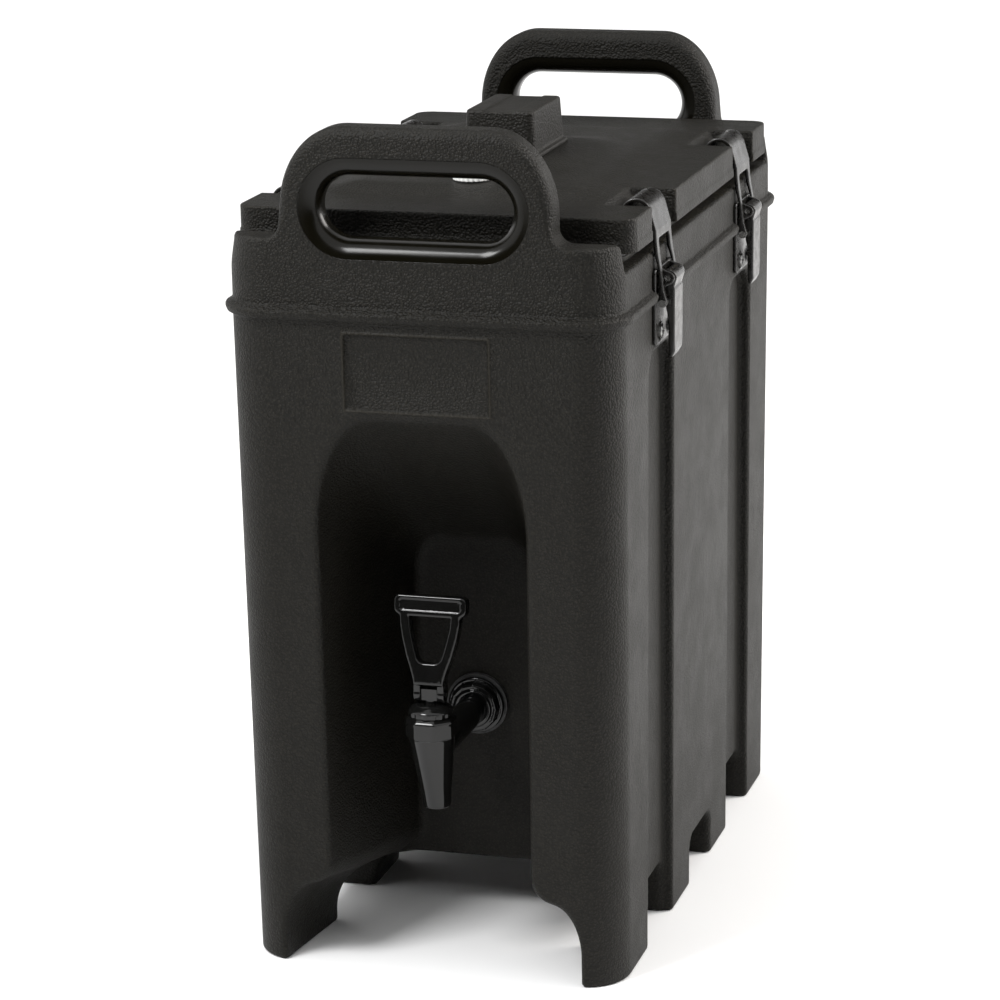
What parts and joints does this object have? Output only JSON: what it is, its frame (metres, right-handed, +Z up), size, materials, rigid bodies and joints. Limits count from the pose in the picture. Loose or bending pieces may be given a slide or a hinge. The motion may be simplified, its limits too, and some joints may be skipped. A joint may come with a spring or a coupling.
{
  "type": "insulated food carrier",
  "caption": "Tall double-wall insulated carrier with a lift-off lid held by side draw latches, loop handles at both ends, raised feet and a push-lever tap in a front alcove.",
  "frame": {"origin": "centre of the footprint, on the underside of the feet", "axes": "+Z up, -Y out of the front (tap side), +X to the right seen from the front; length runs along Y"},
  "size_m": [0.243, 0.418, 0.4785],
  "materials": {
    "shell": "matte",
    "block": "satin",
    "tank": "satin",
    "plug": "satin",
    "foam": "matte",
    "natural_plastic": "satin",
    "vent_white": "satin",
    "seal_rubber": "matte",
    "latch_plastic": "satin",
    "pin_steel": "polished",
    "screw_steel": "satin",
    "tap_plastic": "gloss"
  },
  "bodies": {
    "base": {"outer_shell": "shell", "fill_plug": "plug", "foam_core": "foam", "tank_liner": "tank", "shank_sleeve": "natural_plastic", "latch_screws": "screw_steel", "tap_body": "tap_plastic", "tap_bonnet": "tap_plastic", "outer_washer": "seal_rubber", "outer_nut": "tap_plastic", "inner_washer": "seal_rubber", "inner_nut": "natural_plastic", "latch_base_fr": "latch_plastic", "latch_base_fl": "latch_plastic", "latch_base_rr": "latch_plastic", "latch_base_rl": "latch_plastic", "base_pin_fr": "pin_steel", "base_pin_fl": "pin_steel", "base_pin_rr": "pin_steel", "base_pin_rl": "pin_steel"},
    "lid": {"lid_shell": "shell", "lid_block": "block", "lid_foam": "foam", "lid_pan": "tank", "lid_gasket": "seal_rubber", "vent_tube": "natural_plastic"},
    "vent": {"vent_cap": "vent_white", "vent_seal": "seal_rubber"},
    "lever_fr": {"lever_fr": "latch_plastic"},
    "hook_fr": {"hook_fr": "latch_plastic", "hook_pin_fr": "pin_steel"},
    "lever_fl": {"lever_fl": "latch_plastic"},
    "hook_fl": {"hook_fl": "latch_plastic", "hook_pin_fl": "pin_steel"},
    "lever_rr": {"lever_rr": "latch_plastic"},
    "hook_rr": {"hook_rr": "latch_plastic", "hook_pin_rr": "pin_steel"},
    "lever_rl": {"lever_rl": "latch_plastic"},
    "hook_rl": {"hook_rl": "latch_plastic", "hook_pin_rl": "pin_steel"},
    "tap_stem": {"tap_stem": "tap_plastic", "seat_cup": "seal_rubber"},
    "tap_handle": {"tap_handle": "tap_plastic", "tap_pin": "tap_plastic"}
  },
  "joints": [
    {"name": "lid_lift", "type": "slide", "parent": "base", "child": "lid", "axis": [0, 0, 1], "range_m": [0, 0.04]},
    {"name": "vent_lift", "type": "slide", "parent": "lid", "child": "vent", "axis": [0, 0, 1], "range_m": [0, 0.012]},
    {"name": "lever_fr_turn", "type": "hinge", "parent": "base", "child": "lever_fr", "pos_m": [0.1172, -0.1025, 0.386], "axis": [0, -1, 0], "range_deg": [0, 150.5]},
    {"name": "hook_fr_turn", "type": "hinge", "parent": "lever_fr", "child": "hook_fr", "pos_m": [0.1152, -0.1025, 0.373], "axis": [0, 1, 0], "range_deg": [0, 296]},
    {"name": "lever_fl_turn", "type": "hinge", "parent": "base", "child": "lever_fl", "pos_m": [-0.1172, -0.1025, 0.386], "axis": [0, 1, 0], "range_deg": [0, 150.5]},
    {"name": "hook_fl_turn", "type": "hinge", "parent": "lever_fl", "child": "hook_fl", "pos_m": [-0.1152, -0.1025, 0.373], "axis": [0, -1, 0], "range_deg": [0, 296]},
    {"name": "lever_rr_turn", "type": "hinge", "parent": "base", "child": "lever_rr", "pos_m": [0.1172, 0.1025, 0.386], "axis": [0, -1, 0], "range_deg": [0, 150.5]},
    {"name": "hook_rr_turn", "type": "hinge", "parent": "lever_rr", "child": "hook_rr", "pos_m": [0.1152, 0.1025, 0.373], "axis": [0, 1, 0], "range_deg": [0, 296]},
    {"name": "lever_rl_turn", "type": "hinge", "parent": "base", "child": "lever_rl", "pos_m": [-0.1172, 0.1025, 0.386], "axis": [0, 1, 0], "range_deg": [0, 150.5]},
    {"name": "hook_rl_turn", "type": "hinge", "parent": "lever_rl", "child": "hook_rl", "pos_m": [-0.1152, 0.1025, 0.373], "axis": [0, -1, 0], "range_deg": [0, 296]},
    {"name": "tap_stem_lift", "type": "slide", "parent": "base", "child": "tap_stem", "axis": [0, 0, 1], "range_m": [0, 0.0032]},
    {"name": "tap_handle_tilt", "type": "hinge", "parent": "tap_stem", "child": "tap_handle", "pos_m": [0, -0.19, 0.163], "axis": [1, 0, 0], "range_deg": [0, 45], "stiffness_Nm_per_rad": 0.05, "springref_deg": -17.19}
  ],
  "couplings": [
    {"joint": "lever_fr_turn", "follows": "lid_lift", "rad_per_m": 65.45},
    {"joint": "hook_fr_turn", "follows": "lid_lift", "rad_per_m": 128.72},
    {"joint": "lever_fl_turn", "follows": "lid_lift", "rad_per_m": 65.45},
    {"joint": "hook_fl_turn", "follows": "lid_lift", "rad_per_m": 128.72},
    {"joint": "lever_rr_turn", "follows": "lid_lift", "rad_per_m": 65.45},
    {"joint": "hook_rr_turn", "follows": "lid_lift", "rad_per_m": 128.72},
    {"joint": "lever_rl_turn", "follows": "lid_lift", "rad_per_m": 65.45},
    {"joint": "hook_rl_turn", "follows": "lid_lift", "rad_per_m": 128.72},
    {"joint": "tap_stem_lift", "follows": "tap_handle_tilt", "m_per_rad": 0.00382}
  ]
}
